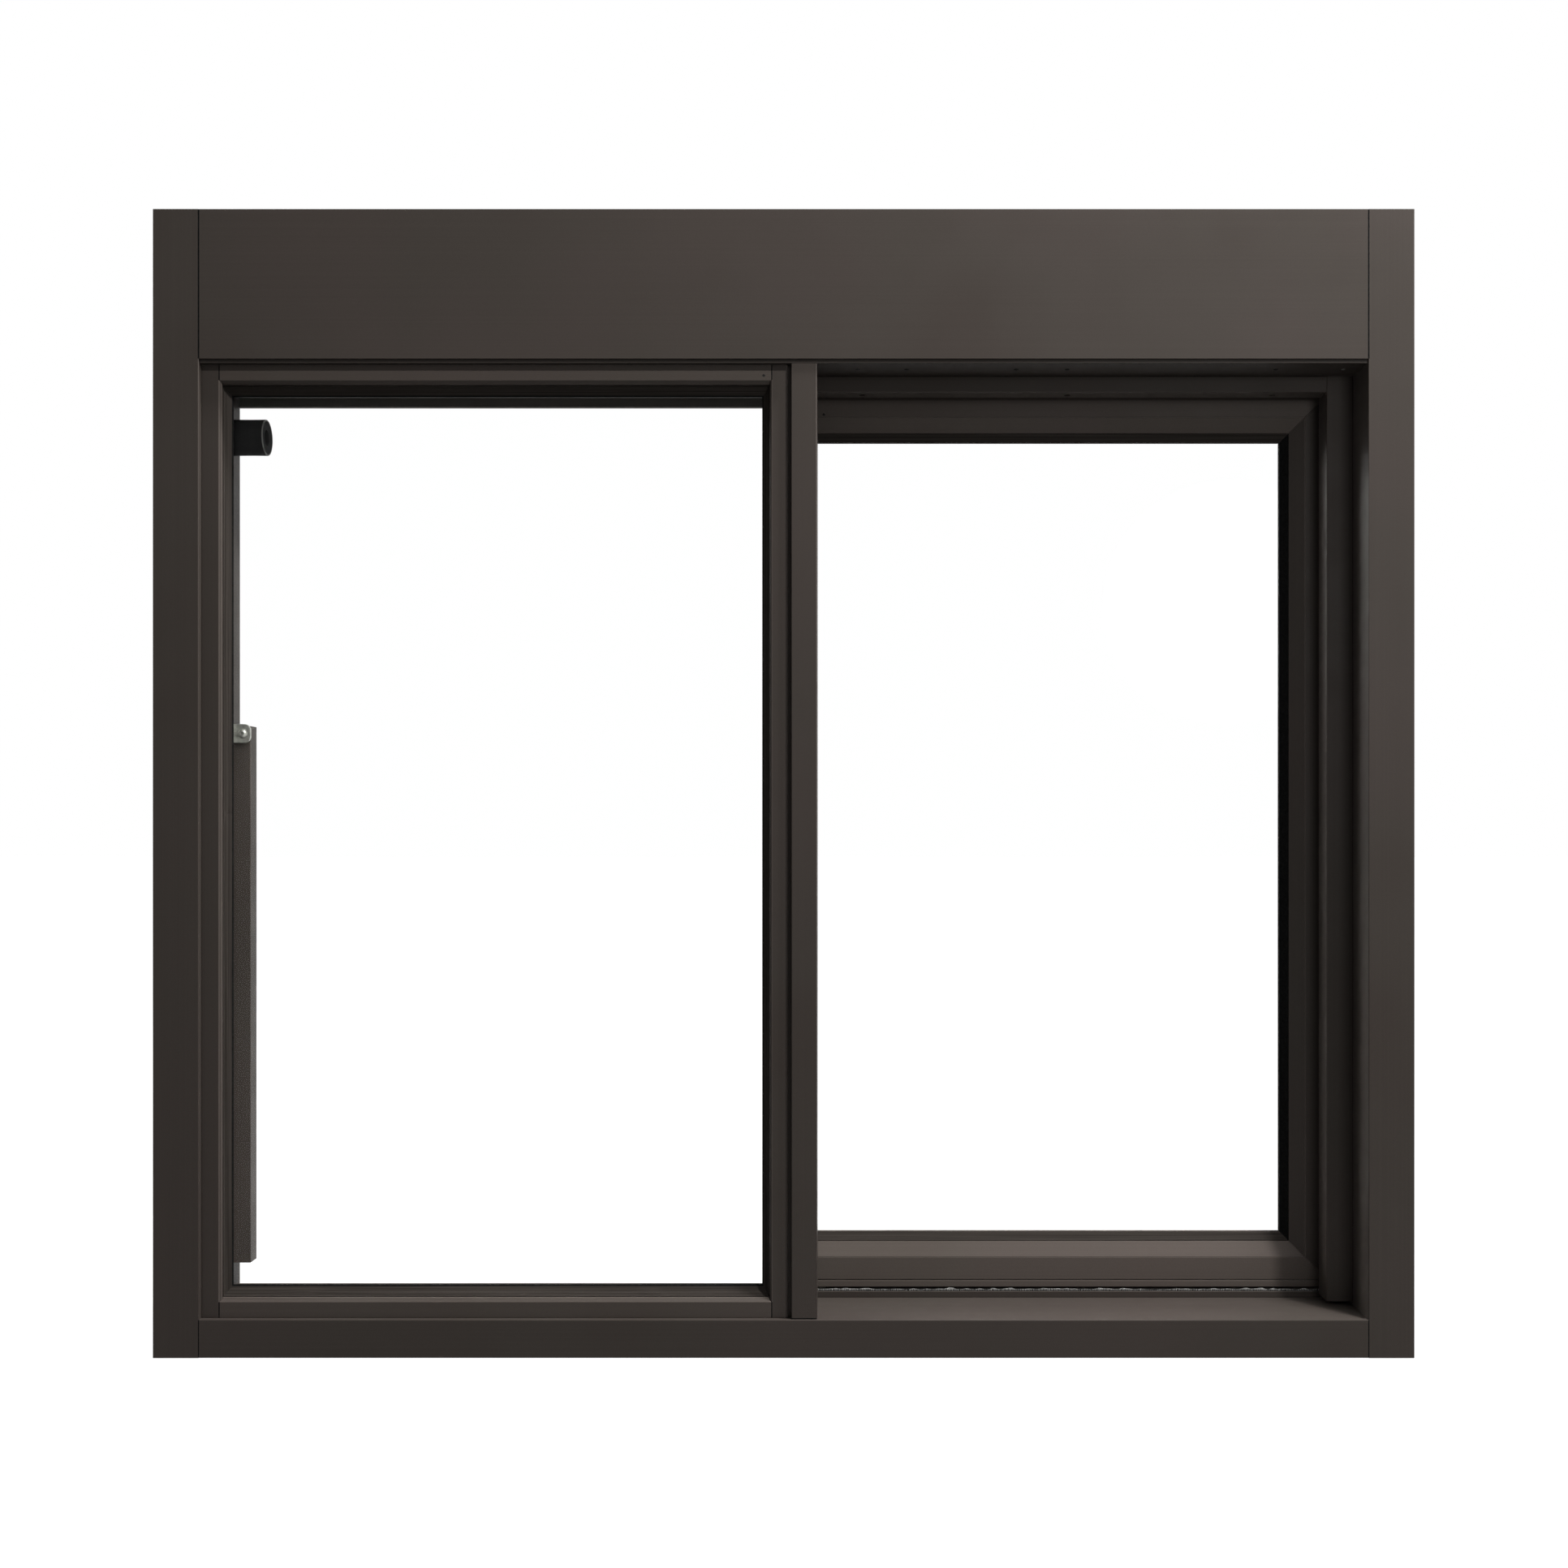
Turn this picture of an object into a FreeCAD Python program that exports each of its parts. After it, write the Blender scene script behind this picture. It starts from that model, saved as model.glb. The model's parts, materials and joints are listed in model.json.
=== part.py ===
import FreeCAD
import Part
import os

# Horizontal sliding service window. Millimetres, +Z up, X to the right from outside, Y into the building.
# The origin is the middle of the sill's underside. Depths are counted from the outer face of the frame.

# Outer frame
FRAME_WIDTH = 1206.5
FRAME_HEIGHT = 1098.5
FRAME_DEPTH = 127.0
JAMB_FACE = 44.0
HEADER_HEIGHT = 143.0
SILL_HEIGHT = 36.5
FRAME_WALL = 3.0
EDGE_RADIUS = 0.9

# Soffit under the header, with the slot that the sash hangers pass through
SOFFIT_THICKNESS = 4.0
SOFFIT_SETBACK = 2.0
HANGER_SLOT = 12.0

# Mullion between the fixed light and the service opening
MULLION_CENTRE = 19.55
MULLION_FACE = 24.5
MULLION_SETBACK = 2.0
MULLION_WALL = 2.5

# Glazing of the fixed light
BEAD_SETBACK = 7.0
BEAD_DEPTH = 12.0
BEAD_BEVEL = 3.5
SIDE_BEAD_BEVEL = 2.0
BEAD_WALL = 1.6
BEAD_END_GAP = 0.3
LEFT_BEAD_FACE = 17.2
RIGHT_BEAD_FACE = 14.9
TOP_BEAD_FACE = 15.0
BOTTOM_BEAD_FACE = 15.5
MULLION_REVEAL = 3.9
REVEAL_FLANGE = 9.0
SIDE_GASKET_REACH = 7.7
END_GASKET_REACH = 10.0
GASKET_BED = 2.0
GASKET_LIP = 1.0
GASKET_RISE = 7.0
GASKET_GRIP = 7.0
GLASS_THICKNESS = 6.0
FIXED_GLASS_EDGE_GAP = 8.0
BACK_TAPE = 1.5
BACK_STOP_WIDTH = 18.0
BACK_STOP_DEPTH = 10.0
BACK_STOP_WALL = 2.0

# Stops and track around the service opening
STOP_WALL = 2.0
JAMB_STOP_FACE = 26.25
JAMB_STOP_DEPTH = 31.0
JAMB_STOP_LIFT = 4.3
HEAD_TRACK_FACE = 16.0
HEAD_TRACK_DEPTH = 25.0
TRACK_HOLE = 6.5
TRACK_HOLE_COUNT = 5
TRACK_HOLE_PITCH = 203.2
TRACK_HOLE_FROM_STOP = 50.6
BACK_LEG_DEPTH = 6.0
BACK_LEG_GAP = 5.1

# Sliding sash
SASH_FRONT_GAP = 5.5
SASH_THICKNESS = 25.4
SASH_OVERLAP = 31.3
SASH_END_GAP = 8.25
SASH_BOTTOM_GAP = 9.6
SASH_TOP_GAP = 2.4
SASH_FACE = 30.0
SASH_WALL = 2.5
SASH_BEAD_WIDTH = 15.0
SASH_BEAD_FALL = 7.0
SASH_BEAD_DEPTH = 10.5
SASH_GASKET_REACH = 10.5
SASH_GLASS_EDGE_GAP = 6.0
SASH_LIP = 3.0
SASH_LIP_SETBACK = 3.5
DRIP_LINE = 0.8
DRIP_LINE_HEIGHT = 6.7

# Sill guide channel and the block that keeps the foot of the sash in line
CHANNEL_WALL = 2.0
CHANNEL_LEG = 6.5
CHANNEL_SIDE_GAP = 2.5
BLOCK_LENGTH = 40.0
BLOCK_WIDTH = 8.0
BLOCK_HEIGHT = 18.0
BLOCK_CLEARANCE = 1.5
GROOVE_DEPTH = 14.0

# Hangers and rollers inside the header
HANGER_SPACING = 400.0
HANGER_LENGTH = 40.0
HANGER_PLATE = 4.0
ROLLER_DIAMETER = 24.0
ROLLER_WIDTH = 6.0
ROLLER_OFFSET = 7.0
AXLE_DIAMETER = 6.0
AXLE_CLEARANCE = 0.2
AXLE_HEAD = 1.5
RAIL_HEIGHT = 4.0
RAIL_SIDE = 0.5
SEAT_GAP = 0.3

# Pull on the inner face of the leading stile
PULL_HEIGHT = 150.0
PULL_BASE = 25.0
PULL_REACH = 26.0
PULL_PLATE = 3.0

# Rubber bumper on the left jamb
BUMPER_DIAMETER = 36.0
BUMPER_LENGTH = 35.25
BUMPER_ROUND = 2.5
BUMPER_BELOW_SASH_TOP = 48.3
BUMPER_RECESS = 16.0
BUMPER_RECESS_DEPTH = 12.0
BUMPER_SCREW_HEAD = 11.0
BUMPER_SCREW_HEAD_HEIGHT = 4.0
BUMPER_SCREW = 5.0

# Hanging lock bar with its bracket and pivot screw
BAR_SIZE = 20.0
BAR_WALL = 2.0
BAR_LENGTH = 539.0
BAR_ABOVE_SILL = 33.5
BAR_JAMB_GAP = 1.25
BAR_SETBACK = 2.5
BRACKET_PLATE = 3.0
BRACKET_HEIGHT = 19.0
BRACKET_REACH = 22.25
BRACKET_LEG = 28.0
BRACKET_CORNER = 6.5
BRACKET_GAP = 0.5
PIVOT_X_FROM_JAMB = 14.25
PIVOT_BELOW_TOP = 7.5
PIVOT_HEAD = 9.5
PIVOT_HEAD_HEIGHT = 3.4
PIVOT_SHANK = 5.0
PIVOT_SHANK_LENGTH = 12.0

# Places that follow from the sizes above
INNER_X = FRAME_WIDTH / 2 - JAMB_FACE
HEADER_Z = FRAME_HEIGHT - HEADER_HEIGHT
SOFFIT_Z = HEADER_Z - SOFFIT_THICKNESS
SILL_Z = SILL_HEIGHT
MULLION_LEFT = MULLION_CENTRE - MULLION_FACE / 2
MULLION_RIGHT = MULLION_CENTRE + MULLION_FACE / 2
SASH_BACK = FRAME_DEPTH - BACK_LEG_DEPTH - BACK_LEG_GAP
SASH_FRONT = SASH_BACK - SASH_THICKNESS
SASH_MIDDLE = (SASH_FRONT + SASH_BACK) / 2
STOP_FRONT = SASH_FRONT - SASH_FRONT_GAP - JAMB_STOP_DEPTH
SASH_RECT = (
    MULLION_LEFT - SASH_OVERLAP,
    INNER_X - SASH_END_GAP,
    SILL_Z + SASH_BOTTOM_GAP,
    SOFFIT_Z - SASH_TOP_GAP,
)
LIGHT_RECT = (-INNER_X, MULLION_LEFT - MULLION_REVEAL, SILL_Z, SOFFIT_Z)
BEAD_RECT = (
    LIGHT_RECT[0] + LEFT_BEAD_FACE + SIDE_BEAD_BEVEL,
    LIGHT_RECT[1] - RIGHT_BEAD_FACE - SIDE_BEAD_BEVEL,
    LIGHT_RECT[2] + BOTTOM_BEAD_FACE + BEAD_BEVEL,
    LIGHT_RECT[3] - TOP_BEAD_FACE - BEAD_BEVEL,
)
BEAD_BACK = BEAD_SETBACK + BEAD_DEPTH
FIXED_GLASS_FRONT = BEAD_BACK + GASKET_BED
FIXED_GLASS_BACK = FIXED_GLASS_FRONT + GLASS_THICKNESS
FIXED_GLASS_RECT = (
    -INNER_X + FIXED_GLASS_EDGE_GAP,
    MULLION_LEFT - FIXED_GLASS_EDGE_GAP,
    SILL_Z + FIXED_GLASS_EDGE_GAP,
    SOFFIT_Z - FIXED_GLASS_EDGE_GAP,
)
SASH_GLASS_FRONT = SASH_BEAD_DEPTH + GASKET_BED
SASH_GLASS_BACK = SASH_GLASS_FRONT + GLASS_THICKNESS
SASH_LIP_REACH = SASH_FACE + SASH_BEAD_WIDTH + SASH_GASKET_REACH - SASH_LIP_SETBACK
SIDES = ("left", "right", "bottom", "top")

made = {}


def at(x, depth, z):
    return FreeCAD.Vector(x, depth - FRAME_DEPTH / 2, z)


def block(x0, x1, depth0, depth1, z0, z1):
    return Part.makeBox(x1 - x0, depth1 - depth0, z1 - z0, at(x0, depth0, z0))


def rounded(shape, radius, direction):
    edges = [e for e in shape.Edges if abs(e.tangentAt(e.FirstParameter).dot(direction)) > 0.999]
    return shape.makeFillet(radius, edges)


def tube(x0, x1, depth0, depth1, z0, z1, wall, upright):
    direction = FreeCAD.Vector(0, 0, 1) if upright else FreeCAD.Vector(1, 0, 0)
    outer = rounded(block(x0, x1, depth0, depth1, z0, z1), EDGE_RADIUS, direction)
    if upright:
        inner = block(x0 + wall, x1 - wall, depth0 + wall, depth1 - wall, z0 - wall, z1 + wall)
    else:
        inner = block(x0 - wall, x1 + wall, depth0 + wall, depth1 - wall, z0 + wall, z1 - wall)
    return outer.cut(inner)


def prism(points, step):
    face = Part.Face(Part.makePolygon(points + points[:1]))
    return face.extrude(step)


def upright_prism(profile, z0, z1):
    return prism([at(x, depth, z0) for x, depth in profile], FreeCAD.Vector(0, 0, z1 - z0))


def level_prism(profile, x0, x1):
    return prism([at(x0, depth, z) for depth, z in profile], FreeCAD.Vector(x1 - x0, 0, 0))


def inset(rect, reach):
    return (rect[0] + reach, rect[1] - reach, rect[2] + reach, rect[3] - reach)


def mitred(side, profile, overrun=0.0):
    # Each profile point is the rectangle it runs round and its depth; the ends lie on the corner planes
    start = []
    finish = []
    for (left, right, bottom, top), depth in profile:
        if side in ("left", "right"):
            x = left if side == "left" else right
            start.append(at(x, depth, bottom - overrun))
            finish.append(at(x, depth, top + overrun))
        else:
            z = bottom if side == "bottom" else top
            start.append(at(left - overrun, depth, z))
            finish.append(at(right + overrun, depth, z))
    outlines = [start, finish]
    for i in range(len(start)):
        j = (i + 1) % len(start)
        outlines.append([start[i], start[j], finish[j], finish[i]])
    faces = [Part.Face(Part.makePolygon(o + o[:1])) for o in outlines]
    solid = Part.Solid(Part.Shell(faces))
    solid.fix(1e-4, 1e-4, 1e-4)
    if solid.Volume < 0:
        solid.reverse()
    return solid


def around_sash(profile):
    return [(inset(SASH_RECT, reach), SASH_FRONT + depth) for reach, depth in profile]


def turned(profile, base, axis):
    # The profile holds (distance along the axis, radius) and is turned about the axis through the base point
    outward = FreeCAD.Vector(0, 0, 1)
    points = [base + axis * along + outward * radius for along, radius in profile]
    face = Part.Face(Part.makePolygon(points + points[:1]))
    return face.revolve(base, axis, 360)


def disc_y(x, depth0, depth1, z, diameter):
    return Part.makeCylinder(diameter / 2, depth1 - depth0, at(x, depth0, z), FreeCAD.Vector(0, 1, 0))


def fuse(shapes):
    return shapes[0].multiFuse(shapes[1:]).removeSplitter()


def keep(name, shape):
    made[name] = shape


# Jambs and sill
OUTER_X = FRAME_WIDTH / 2
keep("left_jamb", tube(-OUTER_X, -INNER_X, 0, FRAME_DEPTH, 0, FRAME_HEIGHT, FRAME_WALL, True))
keep("right_jamb", tube(INNER_X, OUTER_X, 0, FRAME_DEPTH, 0, FRAME_HEIGHT, FRAME_WALL, True))
keep("sill", tube(-INNER_X, INNER_X, 0, FRAME_DEPTH, 0, SILL_HEIGHT, FRAME_WALL, False))

# Header box and soffit
back_panel = FRAME_DEPTH - FRAME_WALL
front_plate = block(-INNER_X, INNER_X, 0, FRAME_WALL, HEADER_Z, FRAME_HEIGHT)
keep("header_front_panel", front_plate)
keep("header_back_panel", block(-INNER_X, INNER_X, back_panel, FRAME_DEPTH, HEADER_Z, FRAME_HEIGHT))
keep(
    "header_top_plate",
    block(-INNER_X, INNER_X, FRAME_WALL, back_panel, FRAME_HEIGHT - FRAME_WALL, FRAME_HEIGHT),
)
slot_front = SASH_MIDDLE - HANGER_SLOT / 2
slot_back = SASH_MIDDLE + HANGER_SLOT / 2
keep("soffit_front", block(-INNER_X, INNER_X, SOFFIT_SETBACK, slot_front, SOFFIT_Z, HEADER_Z))
keep("soffit_back", block(-INNER_X, INNER_X, slot_back, FRAME_DEPTH, SOFFIT_Z, HEADER_Z))

# Roller rails on the soffit, one each side of the slot
rail_width = ROLLER_WIDTH + 2 * RAIL_SIDE
rails = []
for rail_front in (
    SASH_MIDDLE - ROLLER_OFFSET - ROLLER_WIDTH - RAIL_SIDE,
    SASH_MIDDLE + ROLLER_OFFSET - RAIL_SIDE,
):
    rail_back = rail_front + rail_width
    rails.append(block(-INNER_X, INNER_X, rail_front, rail_back, HEADER_Z, HEADER_Z + RAIL_HEIGHT))
keep("roller_rails", Part.makeCompound(rails))

# Mullion, jamb stop, and the stop behind the mullion that closes the gap to the sash
keep(
    "mullion",
    tube(MULLION_LEFT, MULLION_RIGHT, MULLION_SETBACK, STOP_FRONT, SILL_Z, SOFFIT_Z, MULLION_WALL, True),
)
stop_left = INNER_X - JAMB_STOP_FACE
stop_back = STOP_FRONT + JAMB_STOP_DEPTH
track_z = SOFFIT_Z - HEAD_TRACK_FACE
keep(
    "jamb_stop",
    tube(stop_left, INNER_X, STOP_FRONT, stop_back, SILL_Z + JAMB_STOP_LIFT, SOFFIT_Z, STOP_WALL, True),
)
keep(
    "meeting_stop",
    tube(MULLION_LEFT, MULLION_RIGHT, STOP_FRONT, stop_back, SILL_Z, track_z, STOP_WALL, True),
)

# Head track with the holes in its underside, and the leg behind the sash
track_back = STOP_FRONT + HEAD_TRACK_DEPTH
track = tube(-INNER_X, stop_left, STOP_FRONT, track_back, track_z, SOFFIT_Z, STOP_WALL, False)
for i in range(TRACK_HOLE_COUNT):
    hole_x = stop_left - TRACK_HOLE_FROM_STOP - i * TRACK_HOLE_PITCH
    hole_y = STOP_FRONT + HEAD_TRACK_DEPTH / 2
    track = track.cut(
        Part.makeCylinder(TRACK_HOLE / 2, 2 * STOP_WALL, at(hole_x, hole_y, track_z - STOP_WALL / 2))
    )
keep("head_track", track)
keep("head_back_leg", block(-INNER_X, INNER_X, FRAME_DEPTH - BACK_LEG_DEPTH, FRAME_DEPTH, track_z, SOFFIT_Z))

# Guide channel on the sill and the guide block in it
channel_front = SASH_FRONT - CHANNEL_SIDE_GAP - CHANNEL_WALL
channel_back = SASH_BACK + CHANNEL_SIDE_GAP + CHANNEL_WALL
channel_floor = SILL_Z + CHANNEL_WALL
channel_top = SILL_Z + CHANNEL_LEG
keep(
    "sill_guide_track",
    level_prism(
        [
            (channel_front, SILL_Z),
            (channel_back, SILL_Z),
            (channel_back, channel_top),
            (channel_back - CHANNEL_WALL, channel_top),
            (channel_back - CHANNEL_WALL, channel_floor),
            (channel_front + CHANNEL_WALL, channel_floor),
            (channel_front + CHANNEL_WALL, channel_top),
            (channel_front, channel_top),
        ],
        -INNER_X,
        INNER_X,
    ),
)
guide = block(
    MULLION_CENTRE - BLOCK_LENGTH / 2,
    MULLION_CENTRE + BLOCK_LENGTH / 2,
    SASH_MIDDLE - BLOCK_WIDTH / 2,
    SASH_MIDDLE + BLOCK_WIDTH / 2,
    channel_floor,
    channel_floor + BLOCK_HEIGHT,
)
keep("guide_block", rounded(guide, BLOCK_WIDTH / 4, FreeCAD.Vector(0, 0, 1)))

# Beads of the fixed light: the uprights run full height, the top and bottom ones are coped over their bevels
bead_bevel = BEAD_SETBACK + BEAD_BEVEL
side_bevel = BEAD_SETBACK + SIDE_BEAD_BEVEL
flange_front = BEAD_BACK - REVEAL_FLANGE
left_face = LIGHT_RECT[0] + LEFT_BEAD_FACE
right_face = LIGHT_RECT[1] - RIGHT_BEAD_FACE
bottom_face = LIGHT_RECT[2] + BOTTOM_BEAD_FACE
top_face = LIGHT_RECT[3] - TOP_BEAD_FACE
left_bead = upright_prism(
    [
        (LIGHT_RECT[0], BEAD_SETBACK),
        (left_face, BEAD_SETBACK),
        (BEAD_RECT[0], side_bevel),
        (BEAD_RECT[0], BEAD_BACK),
        (LIGHT_RECT[0], BEAD_BACK),
    ],
    SILL_Z,
    SOFFIT_Z,
)
right_bead = upright_prism(
    [
        (LIGHT_RECT[1], BEAD_SETBACK),
        (LIGHT_RECT[1], flange_front),
        (MULLION_LEFT, flange_front),
        (MULLION_LEFT, BEAD_BACK),
        (BEAD_RECT[1], BEAD_BACK),
        (BEAD_RECT[1], side_bevel),
        (right_face, BEAD_SETBACK),
    ],
    SILL_Z,
    SOFFIT_Z,
)
bottom_bead = level_prism(
    [
        (BEAD_SETBACK, LIGHT_RECT[2]),
        (BEAD_SETBACK, bottom_face),
        (bead_bevel, BEAD_RECT[2]),
        (BEAD_BACK, BEAD_RECT[2]),
        (BEAD_BACK, LIGHT_RECT[2]),
    ],
    left_face,
    right_face,
)
top_bead = level_prism(
    [
        (BEAD_SETBACK, LIGHT_RECT[3]),
        (BEAD_SETBACK, top_face),
        (bead_bevel, BEAD_RECT[3]),
        (BEAD_BACK, BEAD_RECT[3]),
        (BEAD_BACK, LIGHT_RECT[3]),
    ],
    left_face,
    right_face,
)
end_gap = FreeCAD.Vector(BEAD_END_GAP, 0, 0)
side_beads = [left_bead.translated(end_gap), right_bead.translated(-end_gap)]
hollow_front = BEAD_SETBACK + BEAD_WALL
hollow_back = BEAD_BACK - BEAD_WALL
for name, bead, hollow in (
    ("left", left_bead, (LIGHT_RECT[0] + BEAD_WALL, left_face - BEAD_WALL)),
    ("right", right_bead, (right_face + BEAD_WALL, LIGHT_RECT[1] - BEAD_WALL)),
):
    core = block(*hollow, hollow_front, hollow_back, SILL_Z - BEAD_WALL, SOFFIT_Z + BEAD_WALL)
    keep("fixed_bead_" + name, bead.cut(core))
for name, bead, hollow in (
    ("bottom", bottom_bead, (LIGHT_RECT[2] + BEAD_WALL, bottom_face - BEAD_WALL)),
    ("top", top_bead, (top_face + BEAD_WALL, LIGHT_RECT[3] - BEAD_WALL)),
):
    core = block(left_face, right_face, hollow_front, hollow_back, *hollow)
    keep("fixed_bead_" + name, bead.cut(side_beads + [core]))


# Fixed glass, its front gasket with the sloping lip, and the tape behind it
def gasket_rect(reach):
    side = reach * SIDE_GASKET_REACH
    end = reach * END_GASKET_REACH
    return (BEAD_RECT[0] + side, BEAD_RECT[1] - side, BEAD_RECT[2] + end, BEAD_RECT[3] - end)


lip_depth = FIXED_GLASS_FRONT - GASKET_LIP
shoulder_depth = FIXED_GLASS_FRONT - GASKET_RISE
fixed_gasket = []
for side in SIDES:
    fixed_gasket.append(
        mitred(
            side,
            [
                (gasket_rect(0), shoulder_depth),
                (gasket_rect(1), lip_depth),
                (gasket_rect(1), FIXED_GLASS_FRONT),
                (gasket_rect(-GASKET_GRIP / END_GASKET_REACH), FIXED_GLASS_FRONT),
                (gasket_rect(-GASKET_GRIP / END_GASKET_REACH), BEAD_BACK),
                (gasket_rect(0), BEAD_BACK),
            ],
        )
    )
keep("fixed_gasket", Part.makeCompound(fixed_gasket))
left, right, bottom, top = FIXED_GLASS_RECT
keep("fixed_glass", block(left, right, FIXED_GLASS_FRONT, FIXED_GLASS_BACK, bottom, top))

# Stops behind the fixed glass, bedded on tape
back_front = FIXED_GLASS_BACK + BACK_TAPE
back_end = back_front + BACK_STOP_DEPTH
back_left = -INNER_X + BACK_STOP_WIDTH
back_right = MULLION_LEFT - BACK_STOP_WIDTH
back_bottom = SILL_Z + BACK_STOP_WIDTH
back_top = SOFFIT_Z - BACK_STOP_WIDTH
for name, across, along, upright in (
    ("left", (-INNER_X, back_left), (SILL_Z, SOFFIT_Z), True),
    ("right", (back_right, MULLION_LEFT), (SILL_Z, SOFFIT_Z), True),
    ("bottom", (back_left, back_right), (SILL_Z, back_bottom), False),
    ("top", (back_left, back_right), (back_top, SOFFIT_Z), False),
):
    keep("back_stop_" + name, tube(*across, back_front, back_end, *along, BACK_STOP_WALL, upright))
tape_inner = (back_left, back_right, back_bottom, back_top)
keep(
    "fixed_glass_tape",
    Part.makeCompound(
        [
            mitred(
                side,
                [
                    (FIXED_GLASS_RECT, FIXED_GLASS_BACK),
                    (tape_inner, FIXED_GLASS_BACK),
                    (tape_inner, back_front),
                    (FIXED_GLASS_RECT, back_front),
                ],
            )
            for side in SIDES
        ]
    ),
)

# Sash: hollow mitred members with a glazing lip at the back
member = [
    (0, 0),
    (SASH_FACE, 0),
    (SASH_FACE, SASH_THICKNESS - SASH_LIP),
    (SASH_LIP_REACH, SASH_THICKNESS - SASH_LIP),
    (SASH_LIP_REACH, SASH_THICKNESS),
    (0, SASH_THICKNESS),
]
groove_half = BLOCK_WIDTH / 2 + BLOCK_CLEARANCE
sash_left, sash_right, sash_bottom, sash_top = SASH_RECT
for side, name in zip(SIDES, ("sash_left_stile", "sash_right_stile", "sash_bottom_rail", "sash_top_rail")):
    outer_wall = GROOVE_DEPTH + SASH_WALL if side == "bottom" else SASH_WALL
    core = [
        (outer_wall, SASH_WALL),
        (SASH_FACE - SASH_WALL, SASH_WALL),
        (SASH_FACE - SASH_WALL, SASH_THICKNESS - SASH_LIP),
        (outer_wall, SASH_THICKNESS - SASH_LIP),
    ]
    solid = mitred(side, around_sash(member)).cut(mitred(side, around_sash(core), SASH_WALL))
    if side == "bottom":
        solid = solid.cut(
            block(
                sash_left,
                sash_right,
                SASH_MIDDLE - groove_half,
                SASH_MIDDLE + groove_half,
                sash_bottom - GROOVE_DEPTH,
                sash_bottom + GROOVE_DEPTH,
            )
        )
        line_z = sash_bottom + DRIP_LINE_HEIGHT
        solid = solid.cut(
            block(
                sash_left,
                sash_right,
                SASH_FRONT - DRIP_LINE,
                SASH_FRONT + DRIP_LINE,
                line_z,
                line_z + DRIP_LINE,
            )
        )
    keep(name, solid)

# Sash beads, gaskets and glass
bead_end = SASH_FACE + SASH_BEAD_WIDTH
sight = bead_end + SASH_GASKET_REACH
glass_edge = SASH_FACE + SASH_GLASS_EDGE_GAP
back_bed = SASH_THICKNESS - SASH_LIP
sash_gasket = []
for side in SIDES:
    bead = [
        (SASH_FACE, 0),
        (bead_end, SASH_BEAD_FALL),
        (bead_end, SASH_BEAD_DEPTH),
        (SASH_FACE, SASH_BEAD_DEPTH),
    ]
    keep("sash_bead_" + side, mitred(side, around_sash(bead)))
    front = [
        (bead_end, SASH_BEAD_FALL),
        (sight, SASH_GLASS_FRONT - GASKET_LIP),
        (sight, SASH_GLASS_FRONT),
        (glass_edge, SASH_GLASS_FRONT),
        (glass_edge, SASH_BEAD_DEPTH),
        (bead_end, SASH_BEAD_DEPTH),
    ]
    back = [
        (glass_edge, SASH_GLASS_BACK),
        (SASH_LIP_REACH, SASH_GLASS_BACK),
        (SASH_LIP_REACH, back_bed),
        (glass_edge, back_bed),
    ]
    sash_gasket.append(mitred(side, around_sash(front)))
    sash_gasket.append(mitred(side, around_sash(back)))
keep("sash_gasket", Part.makeCompound(sash_gasket))
left, right, bottom, top = inset(SASH_RECT, glass_edge)
keep(
    "sash_glass",
    block(left, right, SASH_FRONT + SASH_GLASS_FRONT, SASH_FRONT + SASH_GLASS_BACK, bottom, top),
)

# Hangers through the soffit slot, with a roller on each side of the plate
axle_z = HEADER_Z + RAIL_HEIGHT + SEAT_GAP + ROLLER_DIAMETER / 2
hangers = []
rollers = []
for step in (-0.5, 0.5):
    x = (sash_left + sash_right) / 2 + step * HANGER_SPACING
    plate = block(
        x - HANGER_LENGTH / 2,
        x + HANGER_LENGTH / 2,
        SASH_MIDDLE - HANGER_PLATE / 2,
        SASH_MIDDLE + HANGER_PLATE / 2,
        sash_top,
        axle_z + AXLE_DIAMETER,
    )
    axle_end = ROLLER_OFFSET + ROLLER_WIDTH + SEAT_GAP
    pieces = [plate, disc_y(x, SASH_MIDDLE - axle_end, SASH_MIDDLE + axle_end, axle_z, AXLE_DIAMETER)]
    for direction in (-1, 1):
        ends = sorted((SASH_MIDDLE + direction * axle_end, SASH_MIDDLE + direction * (axle_end + AXLE_HEAD)))
        pieces.append(disc_y(x, ends[0], ends[1], axle_z, 2 * AXLE_DIAMETER))
        inner_face = SASH_MIDDLE + direction * ROLLER_OFFSET
        faces = sorted((inner_face, inner_face + direction * ROLLER_WIDTH))
        wheel = disc_y(x, faces[0], faces[1], axle_z, ROLLER_DIAMETER)
        bore = disc_y(x, faces[0] - 1, faces[1] + 1, axle_z, AXLE_DIAMETER + 2 * AXLE_CLEARANCE)
        rollers.append(wheel.cut(bore))
    hangers.append(fuse(pieces))
keep("sash_hangers", Part.makeCompound(hangers))
keep("sash_rollers", Part.makeCompound(rollers))

# Angle pull on the leading stile
pull_left = sash_right - SASH_FACE / 2 - PULL_BASE / 2
pull_z = (sash_bottom + sash_top) / 2
keep(
    "pull_handle",
    upright_prism(
        [
            (pull_left, SASH_BACK),
            (pull_left + PULL_BASE, SASH_BACK),
            (pull_left + PULL_BASE, SASH_BACK + PULL_PLATE),
            (pull_left + PULL_PLATE, SASH_BACK + PULL_PLATE),
            (pull_left + PULL_PLATE, SASH_BACK + PULL_REACH),
            (pull_left, SASH_BACK + PULL_REACH),
        ],
        pull_z - PULL_HEIGHT / 2,
        pull_z + PULL_HEIGHT / 2,
    ),
)

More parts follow.
